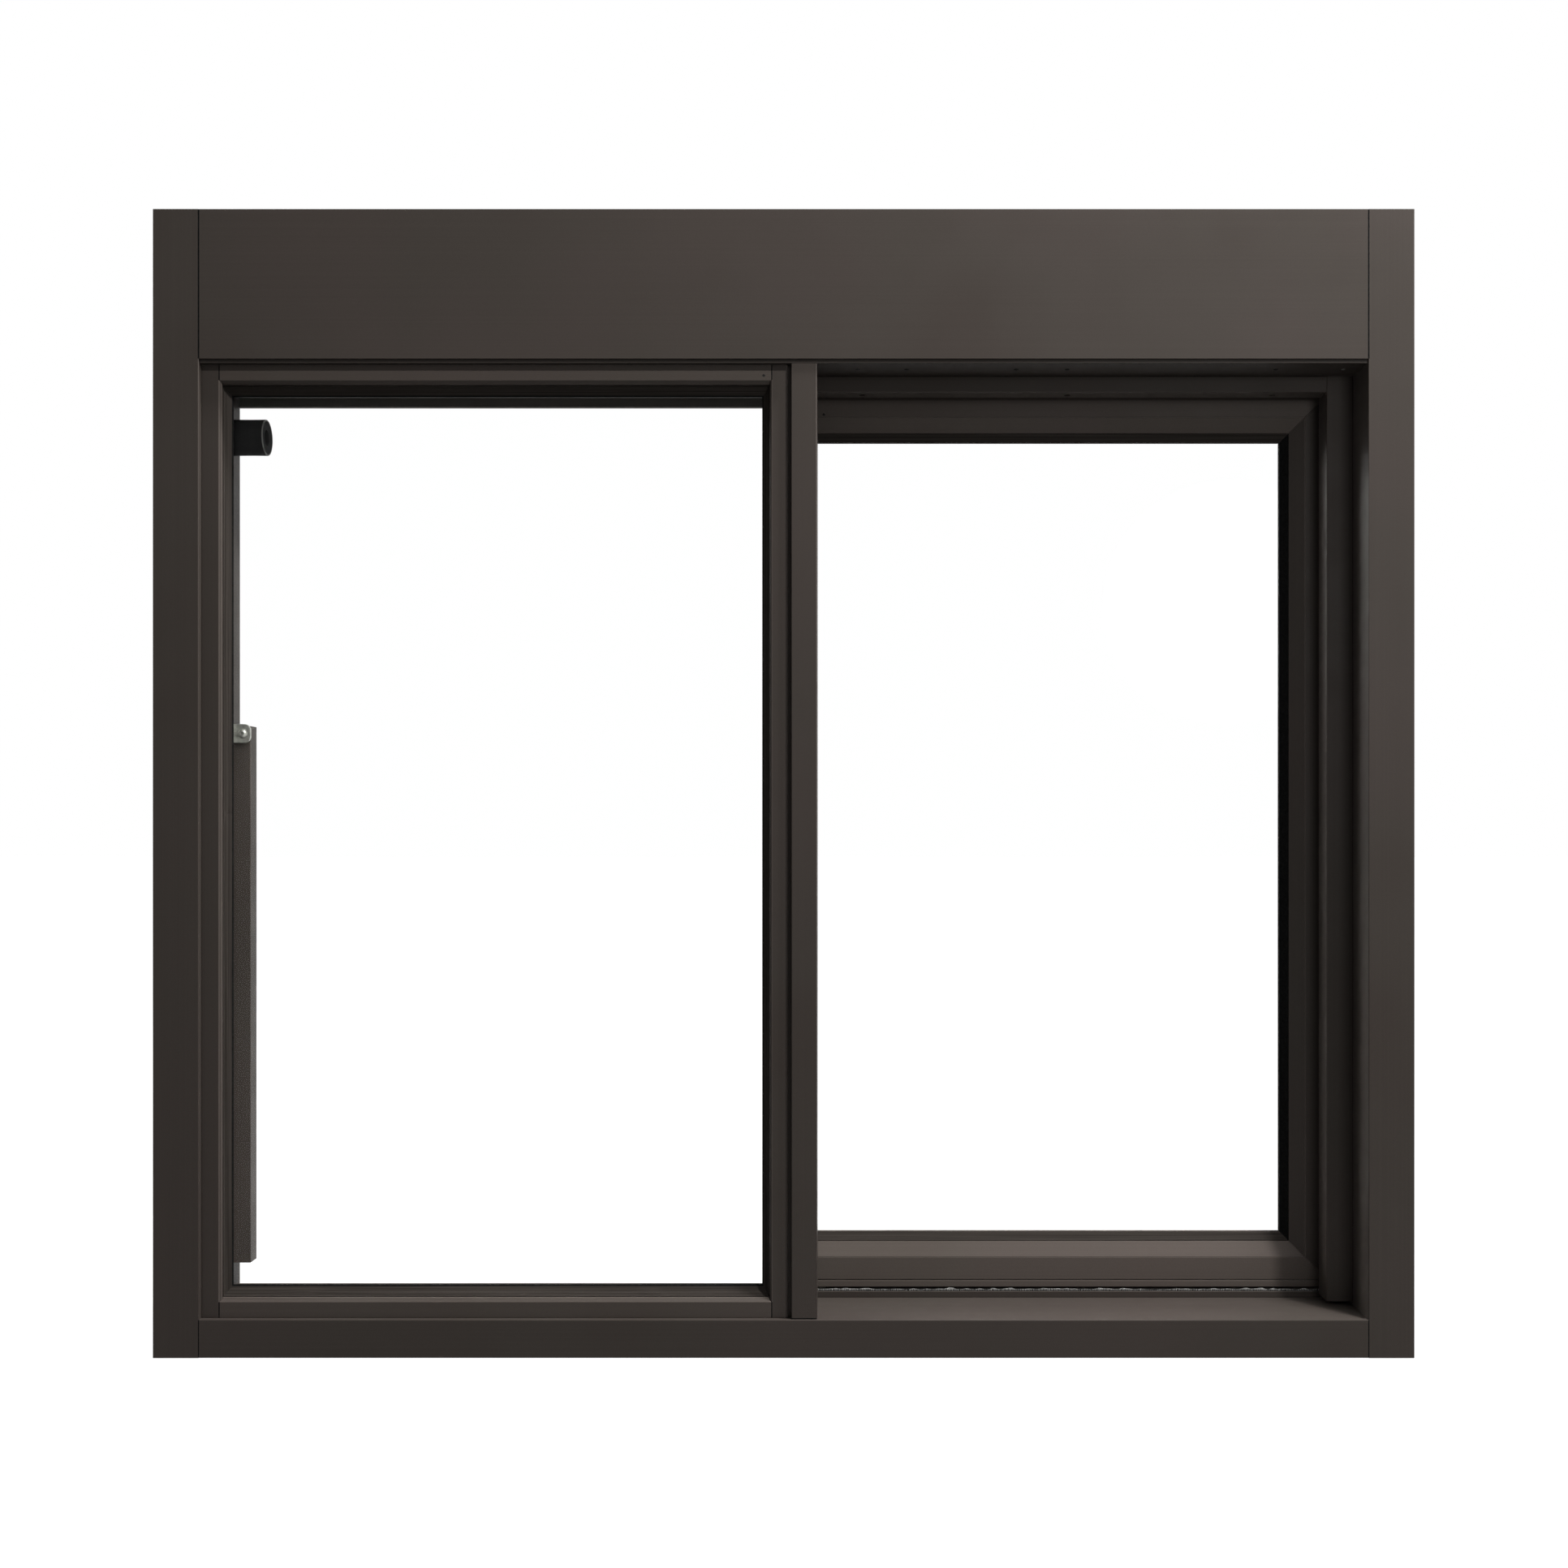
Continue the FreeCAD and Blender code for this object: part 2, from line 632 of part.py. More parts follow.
# Bumper and its screw
bumper_z = sash_top - BUMPER_BELOW_SASH_TOP
seat = BUMPER_LENGTH - BUMPER_RECESS_DEPTH
rim = BUMPER_DIAMETER / 2
bumper_profile = [
    (0, BUMPER_SCREW / 2),
    (0, rim),
    (BUMPER_LENGTH - BUMPER_ROUND, rim),
    (BUMPER_LENGTH - 0.3 * BUMPER_ROUND, rim - 0.3 * BUMPER_ROUND),
    (BUMPER_LENGTH, rim - BUMPER_ROUND),
    (BUMPER_LENGTH, BUMPER_RECESS / 2),
    (seat, BUMPER_RECESS / 2),
    (seat, BUMPER_SCREW / 2),
]
bumper_screw_profile = [
    (0, 0),
    (0, BUMPER_SCREW / 2),
    (seat, BUMPER_SCREW / 2),
    (seat, BUMPER_SCREW_HEAD / 2),
    (seat + BUMPER_SCREW_HEAD_HEIGHT, BUMPER_SCREW_HEAD / 2),
    (seat + BUMPER_SCREW_HEAD_HEIGHT, 0),
]
bumper_base = at(-INNER_X, SASH_MIDDLE, bumper_z)
keep("bumper", turned(bumper_profile, bumper_base, FreeCAD.Vector(1, 0, 0)))
keep("bumper_screw", turned(bumper_screw_profile, bumper_base, FreeCAD.Vector(1, 0, 0)))

# Lock bar hanging from its bracket
bar_left = -INNER_X + BAR_JAMB_GAP
bar_front = SASH_FRONT + BAR_SETBACK
bar_bottom = SILL_Z + BAR_ABOVE_SILL
bar_top = bar_bottom + BAR_LENGTH
bracket_back = bar_front - BRACKET_GAP
bracket_front = bracket_back - BRACKET_PLATE
pivot_x = -INNER_X + PIVOT_X_FROM_JAMB
pivot_z = bar_top - PIVOT_BELOW_TOP
bar = tube(
    bar_left,
    bar_left + BAR_SIZE,
    bar_front,
    bar_front + BAR_SIZE,
    bar_bottom,
    bar_top,
    BAR_WALL,
    True,
)
pivot_bore = disc_y(pivot_x, bracket_front - 1, bar_front + BAR_WALL + 1, pivot_z, PIVOT_SHANK)
keep("lock_bar", bar.cut(pivot_bore))
bracket_x = -INNER_X + BRACKET_REACH
tab = block(
    -INNER_X,
    bracket_x,
    bracket_front,
    bracket_back,
    pivot_z - BRACKET_HEIGHT / 2,
    pivot_z + BRACKET_HEIGHT / 2,
)
corners = [
    e
    for e in tab.Edges
    if abs(e.BoundBox.XMin - bracket_x) < 1e-6 and e.BoundBox.YLength > BRACKET_PLATE / 2
]
tab = tab.makeFillet(BRACKET_CORNER, corners)
leg = block(
    -INNER_X,
    -INNER_X + BRACKET_PLATE,
    bracket_back - BRACKET_LEG,
    bracket_back,
    pivot_z - BRACKET_HEIGHT / 2,
    pivot_z + BRACKET_HEIGHT / 2,
)
keep("lock_bar_bracket", fuse([tab, leg]).cut(pivot_bore))
screw_profile = [
    (-PIVOT_HEAD_HEIGHT, 0),
    (-PIVOT_HEAD_HEIGHT, 0.22 * PIVOT_HEAD),
    (-0.72 * PIVOT_HEAD_HEIGHT, 0.4 * PIVOT_HEAD),
    (-0.3 * PIVOT_HEAD_HEIGHT, 0.5 * PIVOT_HEAD),
    (0, 0.5 * PIVOT_HEAD),
    (0, PIVOT_SHANK / 2),
    (PIVOT_SHANK_LENGTH, PIVOT_SHANK / 2),
    (PIVOT_SHANK_LENGTH, 0),
]
keep("lock_bar_screw", turned(screw_profile, at(pivot_x, bracket_front, pivot_z), FreeCAD.Vector(0, 1, 0)))

os.makedirs("parts", exist_ok=True)
for name, shape in made.items():
    shape.exportStep("parts/" + name + ".step")
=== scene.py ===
import json
import math
import random

import bmesh
import bpy
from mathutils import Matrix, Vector, noise


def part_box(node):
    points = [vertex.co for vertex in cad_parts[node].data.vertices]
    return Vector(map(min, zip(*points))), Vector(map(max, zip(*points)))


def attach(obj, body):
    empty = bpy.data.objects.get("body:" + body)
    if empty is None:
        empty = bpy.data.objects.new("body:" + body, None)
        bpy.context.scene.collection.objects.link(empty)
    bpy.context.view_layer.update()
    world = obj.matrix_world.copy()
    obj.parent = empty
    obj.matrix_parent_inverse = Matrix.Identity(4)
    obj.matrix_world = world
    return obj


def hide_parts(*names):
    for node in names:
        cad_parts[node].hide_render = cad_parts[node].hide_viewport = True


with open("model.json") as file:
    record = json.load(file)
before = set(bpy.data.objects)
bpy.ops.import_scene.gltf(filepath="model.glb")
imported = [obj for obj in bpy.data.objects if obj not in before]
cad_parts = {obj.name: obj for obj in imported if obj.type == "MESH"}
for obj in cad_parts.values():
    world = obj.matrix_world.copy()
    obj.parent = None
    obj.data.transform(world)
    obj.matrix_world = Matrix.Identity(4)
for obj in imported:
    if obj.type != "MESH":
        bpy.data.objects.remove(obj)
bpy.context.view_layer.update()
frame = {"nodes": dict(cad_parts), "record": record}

NODES = frame["nodes"]
NODE_SLOT = {part["node"]: part["material_slot"] for part in frame["record"]["subparts"]}
SASH_NODES = set(frame["record"]["behaviour"]["bodies"]["sash"])
MM = 0.001
UPRIGHT_SIDES = ("left", "right")
SIDES = UPRIGHT_SIDES + ("bottom", "top")
UP = Vector((0, 0, 1))
BACK = Vector((0, 1, 0))
RIGHT = Vector((1, 0, 0))

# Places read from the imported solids, in metres
JAMB_LOW, JAMB_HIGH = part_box("left_jamb")
FRONT_Y = JAMB_LOW.y
BACK_Y = JAMB_HIGH.y
SASH_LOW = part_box("sash_left_stile")[0]

# Sockets of the principled shader by short names, and those of the mix node for colours
SOCKETS = {
    "rough": "Roughness",
    "metal": "Metallic",
    "shine": "Specular IOR Level",
    "glass": "Transmission Weight",
    "bend": "IOR",
}
MIX_FACTOR = 0
MIX_FIRST = 6
MIX_SECOND = 7
MIX_RESULT = 2
NOISE_LOW = 0.3
NOISE_HIGH = 0.7


class Shader:
    """A node material with a few short ways to add what a finish needs."""

    def __init__(self, name):
        self.material = bpy.data.materials.new(name)
        self.material.use_nodes = True
        self.tree = self.material.node_tree
        self.tree.nodes.clear()
        self.output = self.add("ShaderNodeOutputMaterial")
        self.body = self.add("ShaderNodeBsdfPrincipled")
        self.link(self.body.outputs[0], self.output.inputs[0])
        self.where = self.add("ShaderNodeTexCoord").outputs["Object"]

    def add(self, kind, **values):
        node = self.tree.nodes.new(kind)
        for key, value in values.items():
            setattr(node, key, value)
        return node

    def link(self, a, b):
        self.tree.links.new(a, b)

    def noise(self, scale, detail, stretch=(1, 1, 1), shift=(0, 0, 0)):
        mapping = self.add("ShaderNodeMapping")
        mapping.inputs["Scale"].default_value = stretch
        mapping.inputs["Location"].default_value = shift
        self.link(self.where, mapping.inputs["Vector"])
        texture = self.add("ShaderNodeTexNoise")
        texture.inputs["Scale"].default_value = scale
        texture.inputs["Detail"].default_value = detail
        self.link(mapping.outputs[0], texture.inputs["Vector"])
        return texture.outputs["Fac"]

    def ramp(self, value, places, colours):
        node = self.add("ShaderNodeValToRGB")
        points = node.color_ramp.elements
        while len(points) < len(places):
            points.new(position=0.5)
        for point, place, colour in zip(points, places, colours):
            point.position = place
            point.color = (*colour, 1)
        self.link(value, node.inputs[0])
        return node.outputs[0]

    def spread(self, value, low, high):
        """Stretches the usual range of a noise value to low and high."""
        node = self.add("ShaderNodeMapRange")
        node.inputs["From Min"].default_value = NOISE_LOW
        node.inputs["From Max"].default_value = NOISE_HIGH
        node.inputs["To Min"].default_value = low
        node.inputs["To Max"].default_value = high
        self.link(value, node.inputs[0])
        return node.outputs[0]

    def multiply(self, colour, value):
        node = self.add("ShaderNodeMix", data_type="RGBA", blend_type="MULTIPLY")
        node.inputs[MIX_FACTOR].default_value = 1.0
        self.link(colour, node.inputs[MIX_FIRST])
        self.link(value, node.inputs[MIX_SECOND])
        return node.outputs[MIX_RESULT]

    def bump(self, value, strength, distance):
        node = self.add("ShaderNodeBump")
        node.inputs["Strength"].default_value = strength
        node.inputs["Distance"].default_value = distance
        self.link(value, node.inputs["Height"])
        self.link(node.outputs[0], self.body.inputs["Normal"])

    def set(self, **values):
        for key, value in values.items():
            self.body.inputs[SOCKETS[key]].default_value = value


# Bronze finish of the aluminium: cloudy tints, faint lines along the extrusion and a fine grain
BRONZE_TINTS = (
    (0.0450, 0.0370, 0.0325),
    (0.0482, 0.0410, 0.0360),
    (0.0500, 0.0415, 0.0370),
    (0.0515, 0.0424, 0.0378),
)
CLOUD_STOPS = (0.30, 0.45, 0.57, 0.72)
LEVEL_LINES = (1.5, 700, 700)
UPRIGHT_LINES = (700, 700, 1.5)
EVEN_LINES = (60, 60, 60)


def bronze(name, lines, painted_light_gain=1.0, rough=(0.40, 0.50)):
    s = Shader(name)
    # painted_light_gain makes lit and shaded copies of the same bronze: painted light and painted shade
    tints = [tuple(c * painted_light_gain for c in tint) for tint in BRONZE_TINTS]
    cloud = s.noise(scale=4.5, detail=2.0)
    drawn = s.noise(scale=1.0, detail=4.0, stretch=lines)
    grain = s.noise(scale=1500.0, detail=2.0)
    sheen = s.noise(scale=22.0, detail=3.0)
    colour = s.ramp(cloud, CLOUD_STOPS, tints)
    colour = s.multiply(colour, s.spread(drawn, low=0.97, high=1.03))
    colour = s.multiply(colour, s.spread(grain, low=0.95, high=1.05))
    s.link(colour, s.body.inputs["Base Color"])
    s.link(s.spread(sheen, *rough), s.body.inputs["Roughness"])
    s.set(metal=0.0, shine=0.08)
    s.bump(grain, strength=0.08, distance=0.2 * MM)
    return s.material


BRONZE_LEVEL = bronze("bronze_level", LEVEL_LINES)
BRONZE_UPRIGHT = bronze("bronze_upright", UPRIGHT_LINES)
# The sash's level members are painted lighter than the frame: painted light on its rails and beads
BRONZE_SASH_PAINTED_LIGHT = bronze("bronze_sash_painted_light", LEVEL_LINES, painted_light_gain=1.85)
# The fixed light's top and bottom beads are painted lighter: painted light
BRONZE_BEAD_PAINTED_LIGHT = bronze("bronze_bead_painted_light", LEVEL_LINES, painted_light_gain=1.4)
# The soffit is painted darker and keeps that colour on its edges: painted shade under the header
BRONZE_SOFFIT_PAINTED_SHADE = bronze("bronze_soffit_painted_shade", LEVEL_LINES, painted_light_gain=0.6)
# Paler bronze for bevelled edges: a painted highlight
BRONZE_EDGE_PAINTED_HIGHLIGHT = bronze("bronze_edge_painted_highlight", EVEN_LINES, painted_light_gain=1.9, rough=(0.30, 0.40))

# Other finishes, each wandering between a dark and a pale colour
MOTTLE_STOPS = (0.32, 0.68)
SHEEN_SCALE = 0.6
SHEEN_SHIFT = (3.1, 1.7, 0.4)
VINYL_DARK = (0.024, 0.0205, 0.018)
VINYL_PALE = (0.048, 0.0415, 0.037)
VINYL_LEVEL_LINES = (5, 900, 900)
VINYL_UPRIGHT_LINES = (900, 900, 5)


def mottled(name, dark, pale, scale, rough, shine, metal=0.0, bump=0.1, stretch=(1, 1, 1)):
    s = Shader(name)
    mottle = s.noise(scale, detail=4.0, stretch=stretch)
    sheen = s.noise(scale * SHEEN_SCALE, detail=3.0, stretch=stretch, shift=SHEEN_SHIFT)
    s.link(s.ramp(mottle, MOTTLE_STOPS, (dark, pale)), s.body.inputs["Base Color"])
    s.link(s.spread(sheen, *rough), s.body.inputs["Roughness"])
    s.set(shine=shine, metal=metal)
    s.bump(mottle, bump, distance=0.3 * MM)
    return s.material


def grey(value):
    return (value, value, value)


def vinyl(name, lines):
    return mottled(name, VINYL_DARK, VINYL_PALE, scale=1.0, rough=(0.34, 0.52), shine=0.01, stretch=lines)


VINYL = vinyl("brown_vinyl", VINYL_LEVEL_LINES)
VINYL_UPRIGHT = vinyl("brown_vinyl_upright", VINYL_UPRIGHT_LINES)
RUBBER = mottled(
    "black_rubber", grey(0.0055), grey(0.011),
    scale=420, rough=(0.50, 0.68), shine=0.01, bump=0.2,
)
# Paler rubber for the bumper's rim: a painted highlight
RIM_RUBBER_PAINTED_HIGHLIGHT = mottled(
    "rubber_rim_painted_highlight", (0.07, 0.07, 0.065), (0.26, 0.26, 0.24),
    scale=260, rough=(0.45, 0.60), shine=0.1,
)
ZINC = mottled(
    "zinc_steel", (0.26, 0.26, 0.24), (0.46, 0.46, 0.42),
    scale=240, rough=(0.32, 0.48), shine=0.5, metal=0.75, bump=0.12,
)
# Darker zinc for the screw under the soffit: painted shade
ZINC_PAINTED_SHADE = mottled(
    "zinc_painted_shade", (0.06, 0.06, 0.056), (0.12, 0.12, 0.11),
    scale=240, rough=(0.5, 0.65), shine=0.2, metal=0.4,
)
MILL = mottled(
    "mill_aluminium", grey(0.38), grey(0.50),
    scale=1.0, rough=(0.30, 0.44), shine=0.5, metal=0.9, stretch=LEVEL_LINES,
)
NYLON = mottled(
    "natural_nylon", (0.60, 0.59, 0.54), (0.70, 0.69, 0.65),
    scale=130, rough=(0.42, 0.55), shine=0.4,
)
PILE = mottled(
    "pile_black", grey(0.006), (0.030, 0.029, 0.028),
    scale=900, rough=(0.7, 0.9), shine=0.1,
)
FIN = mottled(
    "pile_fin", (0.30, 0.30, 0.29), (0.70, 0.70, 0.68),
    scale=700, rough=(0.35, 0.6), shine=0.4,
)

# Glass that bends light less than real glass, so that the panes stay as clear as in the photograph
GLASS_STOPS = (0.3, 0.7)
GLASS_TINTS = ((0.996, 1.0, 0.998), (0.999, 1.0, 1.0))
GLASS_BEND = 1.12
GLASS_SHADOW = (0.96, 0.98, 0.97, 1)


def clear_glass(name):
    s = Shader(name)
    tint = s.ramp(s.noise(scale=1.2, detail=1.0), GLASS_STOPS, GLASS_TINTS)
    s.link(tint, s.body.inputs["Base Color"])
    s.set(rough=0.0, glass=1.0, shine=0.5, bend=GLASS_BEND)
    path = s.add("ShaderNodeLightPath")
    through = s.add("ShaderNodeBsdfTransparent")
    through.inputs[0].default_value = GLASS_SHADOW
    mix = s.add("ShaderNodeMixShader")
    s.link(path.outputs["Is Shadow Ray"], mix.inputs[0])
    s.link(s.body.outputs[0], mix.inputs[1])
    s.link(through.outputs[0], mix.inputs[2])
    s.link(mix.outputs[0], s.output.inputs[0])
    return s.material


SLOT_MATERIAL = {
    "glass": clear_glass("clear_glass"),
    "vinyl": VINYL,
    "black_rubber": RUBBER,
    "zinc_steel": ZINC,
    "mill_aluminium": MILL,
    "nylon": NYLON,
}

# Finishes and softened edges of the imported pieces; the bevel faces of the bronze pieces are painted
# lighter, a painted highlight along the edges
EDGE_WIDTH = 0.55 * MM
EDGE_SEGMENTS = 2
EDGE_ANGLE = math.radians(30)
EDGE_WELD = 0.005 * MM


def soften(piece, edge_material):
    weld = piece.modifiers.new("weld", "WELD")
    weld.merge_threshold = EDGE_WELD
    edge = piece.modifiers.new("edge", "BEVEL")
    edge.width = EDGE_WIDTH
    edge.segments = EDGE_SEGMENTS
    edge.limit_method = "ANGLE"
    edge.angle_limit = EDGE_ANGLE
    # Bevel faces take this slot; on bronze pieces it holds the painted edge highlight
    edge.material = edge_material


def bronze_for(name):
    low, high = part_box(name)
    if high.z - low.z > high.x - low.x:
        return BRONZE_UPRIGHT
    if name in SASH_NODES:
        return BRONZE_SASH_PAINTED_LIGHT
    if name.startswith("fixed_bead"):
        return BRONZE_BEAD_PAINTED_LIGHT
    if name.startswith("soffit"):
        return BRONZE_SOFFIT_PAINTED_SHADE
    return BRONZE_LEVEL


def dress(name):
    piece = NODES[name]
    slot = NODE_SLOT[name]
    piece.data.materials.clear()
    if slot != "bronze_aluminium":
        piece.data.materials.append(SLOT_MATERIAL[slot])
        if name == "lock_bar_bracket":
            soften(piece, edge_material=0)
        return
    finish = bronze_for(name)
    piece.data.materials.append(finish)
    # The bevel faces take the painted edge highlight, except on the soffit, which keeps its painted shade
    piece.data.materials.append(finish if finish == BRONZE_SOFFIT_PAINTED_SHADE else BRONZE_EDGE_PAINTED_HIGHLIGHT)
    soften(piece, edge_material=1)


for node_name in NODES:
    dress(node_name)

# Camera, at the photograph's viewing angle
PHOTO_SIDE_PX = 1932
FOCAL_PX = 2333.0
CENTRE_PX = (1030.0, 1019.0)
SENSOR_MM = 36.0
CAMERA_X = 0.050
CAMERA_Z = 0.5077
CAMERA_DISTANCE = 1.810

camera_data = bpy.data.cameras.new("camera")
camera_data.sensor_width = SENSOR_MM
camera_data.lens = SENSOR_MM * FOCAL_PX / PHOTO_SIDE_PX
camera_data.shift_x = (PHOTO_SIDE_PX / 2 - CENTRE_PX[0]) / PHOTO_SIDE_PX
camera_data.shift_y = (CENTRE_PX[1] - PHOTO_SIDE_PX / 2) / PHOTO_SIDE_PX
camera = bpy.data.objects.new("camera", camera_data)
camera.location = (CAMERA_X, FRONT_Y - CAMERA_DISTANCE, CAMERA_Z)
camera.rotation_euler = (math.radians(90), 0, 0)
bpy.context.scene.collection.objects.link(camera)
bpy.context.scene.camera = camera

# Lights, in metres and watts
WHITE = (1.0, 1.0, 1.0)
WARM_WHITE = (1.0, 0.985, 0.965)


def area_light(name, place, target, size, power, colour=WHITE):
    data = bpy.data.lights.new(name, "AREA")
    data.shape = "DISK"
    data.size = size
    data.energy = power
    data.color = colour
    lamp = bpy.data.objects.new(name, data)
    lamp.location = place
    lamp.rotation_euler = (Vector(target) - Vector(place)).to_track_quat("-Z", "Y").to_euler()
    bpy.context.scene.collection.objects.link(lamp)


area_light(
    "key", place=(1.45, -1.25, 2.45), target=(-0.30, 0.0, 0.90),
    size=0.16, power=67.0, colour=WARM_WHITE,
)
area_light("overhead", place=(0.75, -0.30, 2.60), target=(0.0, -0.10, 0.0), size=0.18, power=69.0)
area_light("side", place=(0.78, -1.60, 0.93), target=(0.45, 0.0, 0.85), size=0.45, power=4.7)
area_light("back_fill", place=(-1.80, 2.60, 2.20), target=(0.0, 0.0, 0.55), size=1.60, power=75.0)

# White backdrop and pale floor, which look white and give little light
SOFT_LIGHT = 0.10
BACKDROP_LIGHT = 1.0
UNLIT_DEPTH = 0.5
FLOOR_REACH = 30.0
FLOOR_DROP = 0.4 * MM
FLOOR_TONE = (0.10, 0.10, 0.10, 1)
FLOOR_SHOWN_TONE = (0.25, 0.25, 0.25, 1)
GLOW_NEAR = 1.0
GLOW_FAR = 5.0
GLOW_NEAR_LIGHT = 0.92
GLOW_FAR_LIGHT = 1.0


def backdrop_rays(tree):
    """One for rays that show the backdrop, also by gloss or through glass; nought once they carry light."""
    path = tree.nodes.new("ShaderNodeLightPath")

    def joined(operation, a, b):
        node = tree.nodes.new("ShaderNodeMath")
        node.operation = operation
        tree.links.new(a, node.inputs[0])
        if isinstance(b, float):
            node.inputs[1].default_value = b
        else:
            tree.links.new(b, node.inputs[1])
        return node.outputs[0]

    shown = joined("MAXIMUM", path.outputs["Is Camera Ray"], path.outputs["Is Glossy Ray"])
    shown = joined("MAXIMUM", shown, path.outputs["Is Transmission Ray"])
    unlit = joined("LESS_THAN", path.outputs["Diffuse Depth"], UNLIT_DEPTH)
    return joined("MULTIPLY", shown, unlit)


def show_backdrop(tree, output_kind, lighting, shown):
    """Uses one shader where rays show the backdrop and another where they carry light."""
    out = tree.nodes.new(output_kind)
    mix = tree.nodes.new("ShaderNodeMixShader")
    tree.links.new(backdrop_rays(tree), mix.inputs[0])
    tree.links.new(lighting.outputs[0], mix.inputs[1])
    tree.links.new(shown.outputs[0], mix.inputs[2])
    tree.links.new(mix.outputs[0], out.inputs[0])


def white_world():
    world = bpy.data.worlds.new("world")
    world.use_nodes = True
    tree = world.node_tree
    tree.nodes.clear()
    backgrounds = []
    for strength in (SOFT_LIGHT, BACKDROP_LIGHT):
        background = tree.nodes.new("ShaderNodeBackground")
        background.inputs["Color"].default_value = (*WHITE, 1)
        background.inputs["Strength"].default_value = strength
        backgrounds.append(background)
    show_backdrop(tree, "ShaderNodeOutputWorld", *backgrounds)
    return world


def floor_material():
    material = bpy.data.materials.new("pale_floor")
    material.use_nodes = True
    tree = material.node_tree
    tree.nodes.clear()
    matt = tree.nodes.new("ShaderNodeBsdfDiffuse")
    matt.inputs[0].default_value = FLOOR_TONE
    pale = tree.nodes.new("ShaderNodeBsdfDiffuse")
    pale.inputs[0].default_value = FLOOR_SHOWN_TONE
    where = tree.nodes.new("ShaderNodeTexCoord")
    reach = tree.nodes.new("ShaderNodeVectorMath")
    reach.operation = "LENGTH"
    tree.links.new(where.outputs["Object"], reach.inputs[0])
    fade = tree.nodes.new("ShaderNodeMapRange")
    fade.inputs["From Min"].default_value = GLOW_NEAR
    fade.inputs["From Max"].default_value = GLOW_FAR
    fade.inputs["To Min"].default_value = GLOW_NEAR_LIGHT
    fade.inputs["To Max"].default_value = GLOW_FAR_LIGHT
    tree.links.new(reach.outputs["Value"], fade.inputs[0])
    glow = tree.nodes.new("ShaderNodeEmission")
    glow.inputs[0].default_value = (*WHITE, 1)
    tree.links.new(fade.outputs[0], glow.inputs[1])
    both = tree.nodes.new("ShaderNodeAddShader")
    tree.links.new(pale.outputs[0], both.inputs[0])
    tree.links.new(glow.outputs[0], both.inputs[1])
    show_backdrop(tree, "ShaderNodeOutputMaterial", matt, both)
    return material


def mesh_piece(name, build, *materials):
    mesh = bpy.data.meshes.new(name)
    bm = bmesh.new()
    build(bm)
    bmesh.ops.recalc_face_normals(bm, faces=bm.faces)
    bm.to_mesh(mesh)
    bm.free()
    for material in materials:
        mesh.materials.append(material)
    piece = bpy.data.objects.new(name, mesh)
    bpy.context.scene.collection.objects.link(piece)
    return piece


def floor_mesh(bm):
    corners = [(-1, -1), (1, -1), (1, 1), (-1, 1)]
    bm.faces.new([bm.verts.new((FLOOR_REACH * x, FLOOR_REACH * y, -FLOOR_DROP)) for x, y in corners])


bpy.context.scene.world = white_world()
mesh_piece("floor", floor_mesh, floor_material())


def add_piece(piece, body, replaced=()):
    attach(piece, body)
    if replaced:
        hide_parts(*replaced)


# Gaskets with their lip, ribs and small waves; ribs are (share of the width, share of the fall)
RIBS = (
    (0.00, 0.00), (0.06, -0.25), (0.14, 0.05), (0.30, 0.20), (0.36, 0.30),
    (0.42, 0.42), (0.62, 0.62), (0.78, 0.78), (0.86, 0.84), (1.00, 1.00),
)
SOFT_RIBS = (
    (0.00, 0.00), (0.07, -0.06), (0.15, 0.06), (0.40, 0.34),
    (0.70, 0.68), (0.90, 0.90), (1.00, 1.00),
)
# The last rib and the lip on the glass are black: painted shade along the gasket's sight line
LIP_SHADE_RIB = len(RIBS) - 2
LEVEL_FINISH = 0
UPRIGHT_FINISH = 1
LIP_SHADE_FINISH = 2
CORNER_HOLD = 20 * MM
CORNER_WELD = 0.002 * MM
WAVE_RUN = 1.25
GASKET_LIP = 0.8 * MM


def rect_between(a, b, share):
    return [p + (q - p) * share for p, q in zip(a, b)]


def bead_rect(prefix):
    boxes = {side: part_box(prefix + side) for side in SIDES}
    return [boxes["left"][1].x, boxes["right"][0].x, boxes["bottom"][1].z, boxes["top"][0].z]


def inward(rect, sideways, endways):
    return [rect[0] + sideways, rect[1] - sideways, rect[2] + endways, rect[3] - endways]


def strip_ring(bm, section, steps, wave, lip_shade_from=None):
    """Four mitred strips round a rectangle; the section holds (rectangle, depth) points."""
    for side in SIDES:
        upright = side in UPRIGHT_SIDES
        rows = []
        for i in range(steps + 1):
            share = i / steps
            row = []
            for k, ((left, right, bottom, top), y) in enumerate(section):
                if upright:
                    length = top - bottom
                    place = Vector((left if side == "left" else right, y, bottom + length * share))
                else:
                    length = right - left
                    place = Vector((left + length * share, y, bottom if side == "bottom" else top))
                hold = min(1.0, length * min(share, 1 - share) / CORNER_HOLD)
                place.y -= hold * wave(side, place, k / (len(section) - 1))
                row.append(bm.verts.new(place))
            rows.append(row)
        for a, b in zip(rows, rows[1:]):
            for k in range(len(section)):
                j = (k + 1) % len(section)
                face = bm.faces.new((a[k], a[j], b[j], b[k]))
                face.material_index = UPRIGHT_FINISH if upright else LEVEL_FINISH
                # Faces from this rib on take the third slot: painted shade at the lip
                if lip_shade_from is not None and k >= lip_shade_from:
                    face.material_index = LIP_SHADE_FINISH
    bmesh.ops.remove_doubles(bm, verts=bm.verts, dist=CORNER_WELD)


def lip_section(outer, inner, ribs, high, glass_y):
    """The ribbed front of a gasket, from its shoulder down to a thin lip on the glass."""
    low = glass_y - GASKET_LIP
    section = [(rect_between(outer, inner, across), high + (low - high) * fall) for across, fall in ribs]
    return section + [(inner, glass_y), (outer, glass_y)]


def along_side(side, place):
    return place.z if side in UPRIGHT_SIDES else place.x


